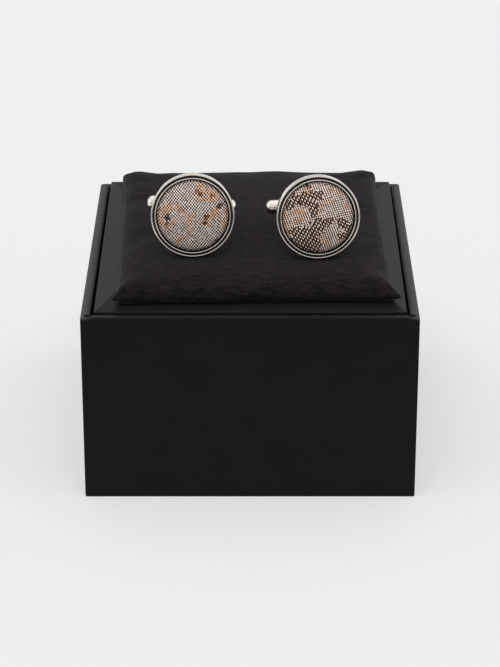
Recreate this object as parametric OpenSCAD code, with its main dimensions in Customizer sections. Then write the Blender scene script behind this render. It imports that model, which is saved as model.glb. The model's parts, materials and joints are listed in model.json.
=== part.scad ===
// Pair of silk-faced cufflinks standing on the cushion of their presentation box.
// Millimetres. The origin is the middle of the box's underside, +Z is up, and -Y is the front.

/* [Box] */
// Width of the box, left to right
box_w = 71.4; // [70:0.1:76]
// Depth of the box, front to back
box_d = 79.5; // [77:0.5:84]
// Height of the box walls
box_h = 42.4; // [38:0.1:50]
// Thickness of the wrapped board
board_t = 2; // [1.6:0.1:2.2]
// Radius of the wrapped rims and upright corners
board_r = 0.35; // [0.3:0.05:0.8]
// Width of the notch between the front panel's rim and each side wall's end
notch_w = 1; // [0.6:0.1:1.4]
// Depth of that notch
notch_depth = 0.8; // [0.4:0.1:1.2]
// Board left whole between the notch and the side wall's outer face
notch_stop = 0.7; // [0.4:0.1:1]

/* [Liner] */
// Side gap between the liner and the box walls
liner_gap = 0.6; // [0.4:0.05:1.2]
// Front and back gap between the liner and the box walls
liner_end_gap = 0.7; // [0.4:0.05:1]
// Sideways shift of the liner as it sits in the box
liner_shift = 0.06; // [-0.3:0.02:0.3]
// Height of the middle of the liner's top above the rims
liner_rise = 1.08; // [0.8:0.02:1.6]
// Slope of the liner's top, which rises towards the back
liner_tilt = 1.06; // [0:0.02:1.2]
// Thickness of the liner's top
liner_top_t = 1.6; // [1.2:0.1:2]
// Thickness of the liner's four skirts
liner_skirt_t = 1.2; // [1:0.1:1.6]

/* [Cushion] */
// Width of the cushion, left to right
cushion_w = 59.2; // [56:0.2:61]
// Depth of the cushion, front to back
cushion_d = 69.2; // [66:0.2:71]
// Height of the cushion's shoulders above the liner
cushion_t = 3.8; // [3:0.1:5]
// Extra height of the cushion's middle
cushion_crown = 0.6; // [0.2:0.1:1.5]
// Distance from the edge over which the crown rises
crown_run = 26; // [15:1:29]
// How far the middles of the left and right sides are drawn in
side_pull = 0.5; // [0:0.1:1]
// How far the middles of the front and back are drawn in
end_pull = 0.05; // [0:0.05:0.6]
// How far the corners stand out
corner_ear = 1.1; // [0:0.1:1.4]
// Turn of the cushion on the liner, seen from above
cushion_yaw = 1.2; // [-2:0.1:2]
// Sideways shift of the cushion
cushion_shift = 0.5; // [-0.8:0.01:0.8]
// Backward shift of the cushion
cushion_back = 0.75; // [0:0.05:1.2]

/* [Bezel] */
// Outer radius of the bezel
bezel_r = 9; // [8:0.1:9.6]
// Thickness of the bezel, front to back
bezel_t = 3; // [2.8:0.1:4.5]
// Radius of the bezel's back edge
bezel_edge_r = 0.3; // [0.1:0.05:0.5]
// Width of the outer bead
outer_bead_w = 0.36; // [0.36:0.02:0.6]
// Distance that the outer bead sits behind the inner one
bead_step = 0.25; // [0:0.05:0.5]
// Width of the groove between the beads
groove_w = 0.46; // [0.3:0.02:0.5]
// Depth of the groove below the inner bead
groove_depth = 0.8; // [0.6:0.05:1]
// Width of the inner bead
inner_bead_w = 0.3; // [0.3:0.02:0.5]
// Depth of the recess that holds the silk face
recess_depth = 2.2; // [1.8:0.1:2.4]

/* [Silk face] */
// Gap round the silk face
silk_gap = 0.18; // [0.1:0.02:0.3]
// Depth of the silk face's edge below the bezel's front
silk_edge_depth = 0.4; // [0.2:0.05:1.1]
// Height of the dome above its own edge
dome_h = 1.5; // [1.2:0.1:2.2]

/* [Post and toggle] */
// Distance from the bezel's front to the toggle's axis
toggle_reach = 17.4; // [15.5:0.1:18.5]
// Length of the toggle
toggle_len = 19.7; // [18:0.1:20]
// Radius of the toggle
toggle_r = 1.7; // [1.5:0.05:1.75]
// Extra radius of the toggle's two collars
collar_rise = 0.15; // [0.05:0.05:0.2]
// Length of each bullet nose
nose_len = 2.8; // [2:0.1:3.4]
// Width of the post, along the toggle at rest
post_w = 3.6; // [3:0.1:4]
// Thickness of each tine of the post
tine_t = 0.9; // [0.7:0.05:1.1]
// Gap between the tines
tine_gap = 4; // [3.9:0.05:4.3]
// Radius of the pivot pin
pin_r = 0.6; // [0.5:0.05:0.8]
// Running clearance of the pin in the toggle's bore
pin_clearance = 0.05; // [0.02:0.01:0.1]

/* [Placing] */
// Backward lean of the faces from upright
lean = 13; // [11:0.1:15]
// Where the bezels touch the cushion, front to back
seat_y = -18; // [-20:0.1:-14]
// Gap left between each bezel and the cushion
seat_gap = 0.08; // [0.05:0.01:0.2]

/* [Hidden] */
$fn = 64;

// Where each cufflink stands and how it is turned; the columns are named below
X = 0;
YAW = 1;
ROLL = 2;
BACK = 3;
left_place = [-12.36, 2, -3.5, 0.5];
right_place = [14.68, 4.6, 0, -0.4];

slack = 0.1;
far = 200;
liner_w = box_w - 2 * (board_t + liner_gap);
liner_d = box_d - 2 * (board_t + liner_end_gap);
liner_z = box_h + liner_rise;
groove_outer_r = bezel_r - outer_bead_w;
groove_inner_r = groove_outer_r - groove_w;
recess_r = groove_inner_r - inner_bead_w;
silk_r = recess_r - silk_gap;
dome_r = (silk_r * silk_r + dome_h * dome_h) / (2 * dome_h);
post_h = tine_gap + 2 * tine_t;
slot_root_z = -bezel_t - 2;
cut_overlap = 0.5;

// Height of the cushion's upper side over the liner at a distance in from its edge
function crown_z(inset) =
    cushion_t + cushion_crown * (1 - pow(1 - min(inset, crown_run) / crown_run, 2));

// Height of the cushion's upper side over the box's underside along its middle
function cushion_top(y) =
    liner_z + y * tan(liner_tilt) + crown_z(cushion_d / 2 - abs(y - cushion_back));

// A rectangle round the origin with true arcs at its corners
module round_rect(w, d, r) {
    square([w - 2 * r, d], center = true);
    square([w, d - 2 * r], center = true);
    for (sx = [-1, 1], sy = [-1, 1])
        translate([sx * (w / 2 - r), sy * (d / 2 - r)]) circle(r);
}

// The end view of a block that stands on the ground line and has a rounded top
module round_top(w, h, r) {
    translate([-w / 2, 0]) square([w, h - r]);
    translate([-w / 2 + r, 0]) square([w - 2 * r, h]);
    for (sx = [-1, 1]) translate([sx * (w / 2 - r), h - r]) circle(r);
}

// Stretches an end view along X, centred
module along_x(length) {
    rotate([90, 0, 90]) translate([0, 0, -length / 2]) linear_extrude(length) children();
}

// Stretches an end view along Y, centred
module along_y(length) {
    rotate([90, 0, 0]) translate([0, 0, -length / 2]) linear_extrude(length) children();
}

// Four walls and a base of wrapped board, each rim rounded inside and out
module box_shell() {
    wall_y = (box_d - board_t) / 2;
    wall_x = (box_w - board_t) / 2;
    notch_y = -box_d / 2 + board_t - notch_w / 2;
    notch_len = board_t - notch_stop + slack;
    notch_x = box_w / 2 - notch_stop - notch_len / 2;
    color("#1b1b1f") difference() {
        intersection() {
            union() {
                translate([-box_w / 2, -box_d / 2, 0]) cube([box_w, box_d, board_t]);
                for (s = [-1, 1]) {
                    translate([0, s * wall_y, 0]) along_x(box_w) round_top(board_t, box_h, board_r);
                    translate([s * wall_x, 0, 0]) along_y(box_d) round_top(board_t, box_h, board_r);
                }
            }
            linear_extrude(box_h) round_rect(box_w, box_d, board_r);
            along_x(box_w) round_top(box_d, box_h, board_r);
            along_y(box_d) round_top(box_w, box_h, board_r);
        }
        for (s = [-1, 1])
            translate([s * notch_x, notch_y, box_h - notch_depth + notch_w / 2])
                along_x(notch_len) notch_profile();
    }
}

// A round-bottomed groove, open at the top
module notch_profile() {
    circle(notch_w / 2);
    translate([-notch_w / 2, 0]) square([notch_w, notch_depth + cut_overlap]);
}

// Everything below the liner's sloping top, or below a level under it
module below_liner_top(drop, r) {
    translate([0, 0, liner_z - drop]) rotate([liner_tilt, 0, 0]) translate([0, 0, -far]) {
        if (r > 0) intersection() {
            along_x(far) round_top(liner_d, far, r);
            along_y(far) round_top(liner_w, far, r);
        }
        else linear_extrude(far) square(far, center = true);
    }
}

// The wrapped insert: a sloping top on four skirts that stand on the box's base
module liner() {
    color("#2a2a2d") translate([liner_shift, 0, 0]) difference() {
        intersection() {
            translate([0, 0, board_t]) linear_extrude(far / 2) round_rect(liner_w, liner_d, board_r);
            below_liner_top(0, board_r);
        }
        intersection() {
            translate([0, 0, board_t - slack]) linear_extrude(far / 2)
                square([liner_w - 2 * liner_skirt_t, liner_d - 2 * liner_skirt_t], center = true);
            below_liner_top(liner_top_t, 0);
        }
    }
}

// Rings of the cushion from its foot to its crown: height, inset from the edge, share of the ear
Z = 0;
INSET = 1;
EAR = 2;
cushion_rings = [
    [0, 1.3, 0.3],
    [0.6, 0.4, 0.7],
    [1.5, 0, 1],
    [2.5, 0.15, 0.8],
    [3.2, 0.7, 0.4],
    [cushion_t, 1.8, 0.1],
    [crown_z(5), 5, 0],
    [crown_z(11), 11, 0],
    [crown_z(18), 18, 0],
    [crown_z(26), 26, 0]];
corner_steps = 5;
side_steps = 7;
ring_points = 4 * (corner_steps + side_steps);

// Corner radius of a ring, never more than the ring can hold
function ring_corner(inset) = min(1.8 + 0.2 * inset, cushion_w / 2 - inset - 1);

// The point at a share of the way along a straight line
function between(a, b, share) = a + (b - a) * share;

// Centre of a ring's corner arc, counted anticlockwise from the back right
function corner_centre(k, a, b, r) =
    [(k == 0 || k == 3 ? 1 : -1) * (a - r), (k < 2 ? 1 : -1) * (b - r)];

// A point on a corner's arc
function corner_point(k, a, b, r, turn) =
    corner_centre(k, a, b, r) + r * [cos(90 * k + turn), sin(90 * k + turn)];

// The plain outline of a ring: an arc at each corner, then the side that follows it
function plain_outline(a, b, r) = [
    for (k = [0 : 3])
        for (i = [0 : corner_steps + side_steps - 1])
            i < corner_steps
                ? corner_point(k, a, b, r, 90 * i / (corner_steps - 1))
                : between(corner_point(k, a, b, r, 90), corner_point((k + 1) % 4, a, b, r, 0),
                    (i - corner_steps + 1) / (side_steps + 1))];

// Draws the sides in and lets the corners stand out
function shaped(p, a, b, ear) =
    let (u = p[0] / a, v = p[1] / b, reach = pow(u * u * v * v, 4) * corner_ear * ear)
    [p[0] - sign(p[0]) * side_pull * (1 - v * v) * u * u + sign(p[0]) * reach,
     p[1] - sign(p[1]) * end_pull * (1 - u * u) * v * v + sign(p[1]) * reach];

// One ring of the cushion as points in space
function cushion_ring(row) =
    let (a = cushion_w / 2 - row[INSET], b = cushion_d / 2 - row[INSET])
    [for (p = plain_outline(a, b, ring_corner(row[INSET])))
        let (q = shaped(p, a, b, row[EAR])) [q[0], q[1], row[Z]]];

// The padded cushion: drawn-in sides, corners that stand out, and a low crown
module cushion() {
    n = ring_points;
    last = len(cushion_rings) - 1;
    points = [for (row = cushion_rings) each cushion_ring(row)];
    foot = [[for (i = [0 : n - 1]) i]];
    crown = [[for (i = [n - 1 : -1 : 0]) last * n + i]];
    sides = [for (k = [0 : last - 1], i = [0 : n - 1])
        [k * n + i, (k + 1) * n + i, (k + 1) * n + (i + 1) % n, k * n + (i + 1) % n]];
    color("#262427") translate([cushion_shift, 0, liner_z]) rotate([liner_tilt, 0, 0])
        translate([0, cushion_back, 0]) rotate([0, 0, cushion_yaw])
            polyhedron(points, concat(foot, crown, sides), convexity = 4);
}

// Stands a cufflink on the cushion. Its own frame has the middle of the bezel's front at the
// origin, the face looking along +Z and the toggle along X.
module stand(place) {
    y = seat_y + place[BACK];
    translate([place[X], y, cushion_top(y) + seat_gap + bezel_edge_r]) rotate([0, 0, place[YAW]])
        rotate([90 - lean, 0, 0]) translate([0, bezel_r - bezel_edge_r, bezel_t - bezel_edge_r])
            rotate([0, 0, place[ROLL]]) children();
}

// Half the section of the bezel: two beads with a groove between them, round a recess
module bezel_section() {
    outer_top = -bead_step - outer_bead_w / 2;
    difference() {
        union() {
            translate([0, -bezel_t + bezel_edge_r])
                square([bezel_r, bezel_t - bezel_edge_r + outer_top]);
            translate([0, -bezel_t]) square([bezel_r - bezel_edge_r, bezel_t / 2]);
            translate([bezel_r - bezel_edge_r, -bezel_t + bezel_edge_r]) circle(bezel_edge_r);
            translate([bezel_r - outer_bead_w / 2, outer_top]) circle(outer_bead_w / 2);
            translate([recess_r, -bezel_t / 2])
                square([inner_bead_w, bezel_t / 2 - inner_bead_w / 2]);
            translate([recess_r + inner_bead_w / 2, -inner_bead_w / 2]) circle(inner_bead_w / 2);
        }
        translate([groove_inner_r, -groove_depth]) square([groove_w, groove_depth + cut_overlap]);
        translate([-slack, -recess_depth]) square([recess_r + slack, recess_depth + cut_overlap]);
    }
}

// The side view of the post: round at its far end, where the pin goes through
module post_outline() {
    translate([-post_w / 2, -toggle_reach]) square([post_w, toggle_reach - recess_depth - cut_overlap]);
    translate([0, -toggle_reach]) circle(post_w / 2);
}

// The bezel's cup, its forked post and the riveted pin, soldered into one piece
module bezel_post() {
    foot_r = 3.4;
    foot_h = 0.7;
    slot_r = tine_gap / 2;
    head_h = 0.2;
    color("silver") {
        rotate_extrude() bezel_section();
        translate([0, 0, -bezel_t - foot_h]) cylinder(h = foot_h + cut_overlap, r = foot_r);
        difference() {
            along_y(post_h) post_outline();
            along_x(post_w + 2 * cut_overlap) {
                translate([0, slot_root_z - slot_r]) circle(slot_r);
                translate([-slot_r, -far]) square([tine_gap, far + slot_root_z - slot_r]);
            }
        }
        translate([0, 0, -toggle_reach]) rotate([90, 0, 0])
            cylinder(h = post_h + 2 * head_h, r = pin_r, center = true);
    }
}

// The padded button under its silk: a disc with a low dome
module silk_face() {
    top_z = dome_h - silk_edge_depth;
    color("#b6a795") intersection() {
        translate([0, 0, -recess_depth + slack]) cylinder(h = recess_depth + dome_h, r = silk_r);
        translate([0, 0, top_z - dome_r]) sphere(r = dome_r, $fn = 96);
    }
}

// Half the section of the toggle, from its middle to its tip
module toggle_half_section() {
    half = toggle_len / 2;
    collar_len = 0.9;
    neck = 0.15;
    shoulder = half - nose_len;
    difference() {
        union() {
            square([toggle_r, shoulder]);
            translate([0, shoulder - collar_len]) square([toggle_r + collar_rise, collar_len]);
            translate([0, shoulder]) square([toggle_r - neck, nose_len - toggle_r + neck]);
            translate([0, half - toggle_r + neck]) circle(toggle_r - neck);
        }
        translate([-far, -far]) square([far, 2 * far]);
    }
}

// The bullet-ended bar that swivels on the pin
module toggle() {
    color("silver") difference() {
        translate([0, 0, -toggle_reach]) rotate([0, 90, 0]) rotate_extrude() {
            toggle_half_section();
            mirror([0, 1]) toggle_half_section();
        }
        translate([0, 0, -toggle_reach]) rotate([90, 0, 0])
            cylinder(h = 4 * toggle_r, r = pin_r + pin_clearance, center = true);
    }
}

box_shell();
liner();
cushion();
stand(left_place) bezel_post();  // left_bezel_post
stand(left_place) silk_face();  // left_silk_face
stand(left_place) toggle();  // left_toggle
stand(right_place) bezel_post();  // right_bezel_post
stand(right_place) silk_face();  // right_silk_face
stand(right_place) toggle();  // right_toggle
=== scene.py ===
"""A pair of silk-faced cufflinks on the cushion of their open presentation box.

Each piece is shaped in millimetres, as on a bench, and then put into the frame's metres. The frame
gives the places: the box and the liner are measured from their solids, and each cufflink stands
where the hinge of its toggle is.
"""

import json
import logging
import math
from collections.abc import Callable, Sequence
from dataclasses import dataclass, field
from enum import Enum

import bmesh
import bpy
from mathutils import Matrix, Vector, noise


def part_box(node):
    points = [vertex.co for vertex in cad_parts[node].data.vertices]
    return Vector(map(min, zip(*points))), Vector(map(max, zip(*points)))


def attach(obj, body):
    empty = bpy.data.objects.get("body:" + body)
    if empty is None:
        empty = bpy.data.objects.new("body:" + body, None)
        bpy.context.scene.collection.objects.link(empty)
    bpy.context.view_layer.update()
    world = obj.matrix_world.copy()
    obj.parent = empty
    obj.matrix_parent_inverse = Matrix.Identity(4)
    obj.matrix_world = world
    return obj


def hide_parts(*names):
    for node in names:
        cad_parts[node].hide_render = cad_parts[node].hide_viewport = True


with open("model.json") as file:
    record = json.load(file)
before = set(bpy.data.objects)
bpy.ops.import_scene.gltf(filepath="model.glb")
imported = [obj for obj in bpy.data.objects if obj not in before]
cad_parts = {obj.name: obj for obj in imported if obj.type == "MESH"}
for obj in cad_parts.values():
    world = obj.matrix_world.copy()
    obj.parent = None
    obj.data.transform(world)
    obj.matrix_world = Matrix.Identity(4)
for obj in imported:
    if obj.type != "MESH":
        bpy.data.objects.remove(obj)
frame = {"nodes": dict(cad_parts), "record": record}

MM = 0.001
NEAR = 0.01  # Places closer than this, in millimetres, count as one.
FACING = 0.9  # A normal with more than this along an axis faces that way.
log = logging.getLogger("cufflinks")

Point2 = tuple[float, float]
Point3 = tuple[float, float, float]
Value = float | str | Sequence[float]
Row = tuple[Value, ...]
Test = Callable[[Vector, Vector], bool]

# For each node in the finishes' tables: the setting that a row may choose, the inputs that the
# row's values fill in turn, and the output that the row's name stands for.
NODES: dict[str, tuple[str, tuple[str | int, ...], str]] = {
    "TexCoord": ("", (), "Object"),
    "Attribute": ("attribute_name", (), "Fac"),
    "Mapping": ("", ("Vector", "Scale"), "Vector"),
    "TexNoise": ("", ("Vector", "Scale", "Detail", "Roughness", "Distortion"), "Fac"),
    "SeparateXYZ": ("", ("Vector",), "X"),
    "SeparateColor": ("", ("Color",), "Red"),
    "Math": ("operation", (0, 1, 2), "Value"),
    "MapRange": ("interpolation_type", ("Value", "From Min", "From Max", "To Min", "To Max"),
                 "Result"),
    "Mix": ("data_type", ("Factor", "A", "B"), "Result"),
    "Bump": ("", ("Height", "Strength", "Distance"), "Normal"),
}


def linear(hex_code: str) -> tuple[float, float, float, float]:
    """Turns an sRGB hex colour into the linear colour that a socket takes.

    Args:
        hex_code: A # and six hex digits.

    Returns:
        Red, green, blue and an alpha of one.
    """
    channels = [int(hex_code[i:i + 2], 16) / 255 for i in (1, 3, 5)]
    red, green, blue = (c / 12.92 if c <= 0.04045 else ((c + 0.055) / 1.055) ** 2.4
                        for c in channels)
    return red, green, blue, 1.0


def per_mm(size: float) -> float:
    """Gives the texture scale whose features are this many millimetres across."""
    return 1.0 / (size * MM)


def fade(value: float, low: float, high: float) -> float:
    """Gives how far a value has come from one level to another, from 0 to 1."""
    return min(1.0, max(0.0, (value - low) / (high - low)))


def add(tree: bpy.types.NodeTree, kind: str, inputs: dict[str | int, object],
        **settings: object) -> bpy.types.Node:
    """Adds one node with its settings and its links.

    Args:
        tree: The tree that the node goes into.
        kind: Blender's name for the node, after the words ShaderNode.
        inputs: A value or another node's output socket for each named or numbered input.
        **settings: The node's own settings.

    Returns:
        The new node.
    """
    node = tree.nodes.new("ShaderNode" + kind)
    for name, value in settings.items():
        setattr(node, name, value)
    for name, value in inputs.items():
        if isinstance(value, bpy.types.NodeSocket):
            tree.links.new(value, node.inputs[name])
        else:
            node.inputs[name].default_value = value
    return node


def wire(tree: bpy.types.NodeTree, rows: Sequence[Row]) -> dict[str, bpy.types.NodeSocket]:
    """Adds the nodes of a table in order, on the object's own coordinates.

    Args:
        tree: The tree that they go into.
        rows: For each node a name, the node with its choice, and its values. A value in words
            is the name of an earlier row, or one of its outputs after a full stop.

    Returns:
        The output that each name stands for.
    """
    found: dict[str, bpy.types.NodeSocket] = {}
    for name, what, *values in (("place", "TexCoord"), *rows):
        kind, _, choice = what.partition(" ")
        setting, sockets, output = NODES[kind]
        inputs = {socket: found[value] if isinstance(value, str) else value
                  for socket, value in zip(sockets, values)}
        node = add(tree, kind, inputs, **({setting: choice} if choice else {}))
        found[name] = node.outputs[output]
        found.update({f"{name}.{other.name}": other for other in node.outputs})
    return found


@dataclass(frozen=True)
class Finish:
    """What every finish has: a name, a table of nodes, and what the shader's sockets take."""

    name: str

    def rows(self) -> tuple[Row, ...]:
        """Gives the table of nodes."""
        raise NotImplementedError

    def surface(self) -> dict[str, Value]:
        """Gives a row's name or a constant for each of the shader's sockets."""
        raise NotImplementedError

    def material(self) -> bpy.types.Material:
        """Makes the material once, and gives the same one again after that.

        Returns:
            The material.
        """
        found = bpy.data.materials.get(self.name)
        if found:
            return found
        material = bpy.data.materials.new(self.name)
        material.use_nodes = True
        tree = material.node_tree
        steps = wire(tree, self.rows())
        shader = tree.nodes["Principled BSDF"]
        for socket, value in self.surface().items():
            if isinstance(value, str):
                tree.links.new(steps[value], shader.inputs[socket])
            else:
                shader.inputs[socket].default_value = value
        return material


@dataclass(frozen=True)
class WrappedPaper(Finish):
    """Black covering paper, dyed through, calendered and glued round grey board.

    Calendering presses the fibres flat, so it is nearly black seen square on and turns to a soft
    grey where the light grazes it. A faint tooth and a slow mottle keep it from looking like
    plastic.
    """

    colour: str = "#0c0b0f"
    mottle: str = "#121115"
    rough: float = 0.42
    rough_spread: float = 0.07
    gloss: float = 0.1
    bloom: float = 0.08
    fibre: float = 0.25
    tooth_h: float = 0.02
    patch: float = 6.0

    def rows(self) -> tuple[Row, ...]:
        """Gives a fibre bump and an uneven gloss under the colour."""
        return (("fibres", "TexNoise", "place", per_mm(self.fibre), 4.0, 0.65),
                ("tooth", "MapRange", "fibres", 0.0, 1.0, self.rough - self.rough_spread,
                 self.rough + self.rough_spread),
                ("relief", "Bump", "fibres", 0.12, self.tooth_h * MM), *self.tint())

    def tint(self) -> tuple[Row, ...]:
        """Gives the colour, in slow patches."""
        return (("patches", "TexNoise", "place", per_mm(self.patch), 3.0, 0.6),
                ("tint", "Mix RGBA", "patches", linear(self.colour), linear(self.mottle)))

    def surface(self) -> dict[str, Value]:
        """Gives what the shader takes."""
        return {"Base Color": "tint", "Roughness": "tooth", "Normal": "relief",
                "Specular IOR Level": self.gloss, "Sheen Weight": self.bloom,
                "Sheen Roughness": 0.35}


@dataclass(frozen=True)
class RimWearAndSheenPaper(WrappedPaper):
    """The same paper, lighter and browner along the two side rims, most on their outer edges.

    The lighter tone is partly wear, where a lid goes on and off over the side walls, and partly
    painted sheen: the light that grazes the rims is painted into their colour.
    """

    # The lighter tone of the side rims, which is wear and painted sheen, where it starts and ends,
    # and the size of its patches.
    light_tone: str = "#474443"
    rim_from: Point2 = (33.2, 41.85)
    rim_to: Point2 = (35.6, 42.2)
    rim_patch: float = 1.2

    def tint(self) -> tuple[Row, ...]:
        """Gives the colour, with wear and painted sheen lighter towards the outer edges of the two
        side rims.
        """
        (out_from, up_from), (out_to, up_to) = self.rim_from, self.rim_to
        # Painted sheen, with wear: a patchy mask over the outer edges of the side rims mixes the
        # colour towards the lighter tone.
        return (*super().tint(),
                ("axes", "SeparateXYZ", "place"),
                ("aside", "Math ABSOLUTE", "axes.X"),
                ("outward", "MapRange", "aside", out_from * MM, out_to * MM),
                ("upward", "MapRange", "axes.Z", up_from * MM, up_to * MM),
                ("on_rim", "Math MULTIPLY", "outward", "upward"),
                ("rubs", "TexNoise", "place", per_mm(self.rim_patch), 4.0),
                ("patchy", "Math ADD", "rubs", 0.4),
                ("share", "Math MULTIPLY", "on_rim", "patchy"),
                ("tint", "Mix RGBA", "share", "tint", linear(self.light_tone)))


@dataclass(frozen=True)
class SuedeCloth(Finish):
    """Fine black suede cloth, brushed until a short nap stands up on it.

    The nap drinks the light that falls straight in and catches what grazes it, so the pad is
    deep black at its front and a warm grey where it turns away. The brushing leaves faint
    streaks from side to side.
    """

    colour: str = "#0a080b"
    brushed: str = "#252123"
    nap_tint: str = "#b6afb4"
    nap: float = 0.25
    nap_h: float = 0.1
    fuzz: float = 0.22
    streak: float = 0.9
    streak_stretch: float = 3.0

    def rows(self) -> tuple[Row, ...]:
        """Gives brushed streaks and a fuzz bump."""
        return (("brushing", "Mapping", "place", (1 / self.streak_stretch, 1.0, 1.0)),
                ("streaks", "TexNoise", "brushing", per_mm(self.streak), 5.0, 0.7),
                ("fuzz", "TexNoise", "place", per_mm(self.fuzz), 3.0, 0.75),
                ("both", "Math MULTIPLY", "streaks", "fuzz"),
                ("share", "MapRange", "both", 0.15, 0.38),
                ("tint", "Mix RGBA", "share", linear(self.colour), linear(self.brushed)),
                ("relief", "Bump", "both", 0.35, self.nap_h * MM))

    def surface(self) -> dict[str, Value]:
        """Gives what the shader takes, with a warm sheen for the nap."""
        return {"Base Color": "tint", "Normal": "relief", "Roughness": 0.95,
                "Specular IOR Level": 0.05, "Sheen Weight": self.nap, "Sheen Roughness": 0.36,
                "Sheen Tint": linear(self.nap_tint)}


@dataclass(frozen=True)
class RhodiumPlate(Finish):
    """Rhodium electroplated over polished brass.

    It is a white metal with a touch of warmth, duller than silver. Hand polishing leaves it bright
    but not a perfect mirror: hairlines a tenth of a millimetre apart and a slow unevenness soften
    what it mirrors.
    """

    colour: str = "#eee6dd"
    rough_from: float = 0.1
    rough_to: float = 0.15
    hairline: float = 0.1
    wave: float = 1.6
    wave_h: float = 0.01

    def rows(self) -> tuple[Row, ...]:
        """Gives hairlines and a slow unevenness."""
        return (("hairlines", "TexNoise", "place", per_mm(self.hairline), 2.0, 0.5, 1.5),
                ("haze", "MapRange", "hairlines", 0.0, 1.0, self.rough_from, self.rough_to),
                ("waves", "TexNoise", "place", per_mm(self.wave), 1.0),
                ("relief", "Bump", "waves", 0.08, self.wave_h * MM))

    def surface(self) -> dict[str, Value]:
        """Gives what the shader takes."""
        return {"Base Color": linear(self.colour), "Metallic": 1.0, "Roughness": "haze",
                "Normal": "relief"}


@dataclass(frozen=True)
class DarkGrooveAndGapShade(Finish):
    """A matt brown-black coat with lighter patches, low in the groove between the two beads, which
    makes them read as two fine rings.

    On the recess wall, seen only down the narrow gap round the silk, the same coat is painted
    shade.
    """

    colour: str = "#1b140f"
    light_tone: str = "#4a3c30"
    grain: float = 0.15

    def rows(self) -> tuple[Row, ...]:
        """Gives lighter patches over the black."""
        return (("rubs", "TexNoise", "place", per_mm(self.grain), 3.0),
                ("worn", "MapRange", "rubs", 0.55, 0.8),
                ("tint", "Mix RGBA", "worn", linear(self.colour), linear(self.light_tone)))

    def surface(self) -> dict[str, Value]:
        """Gives what the shader takes."""
        return {"Base Color": "tint", "Roughness": 0.5, "Specular IOR Level": 0.3}


class Thread(Enum):
    """The coloured threads that the loom can bring to the front of the silk."""

    COPPER = "copper"
    UMBER = "umber"
    IVORY = "ivory"
    WARP = "warp"


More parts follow.
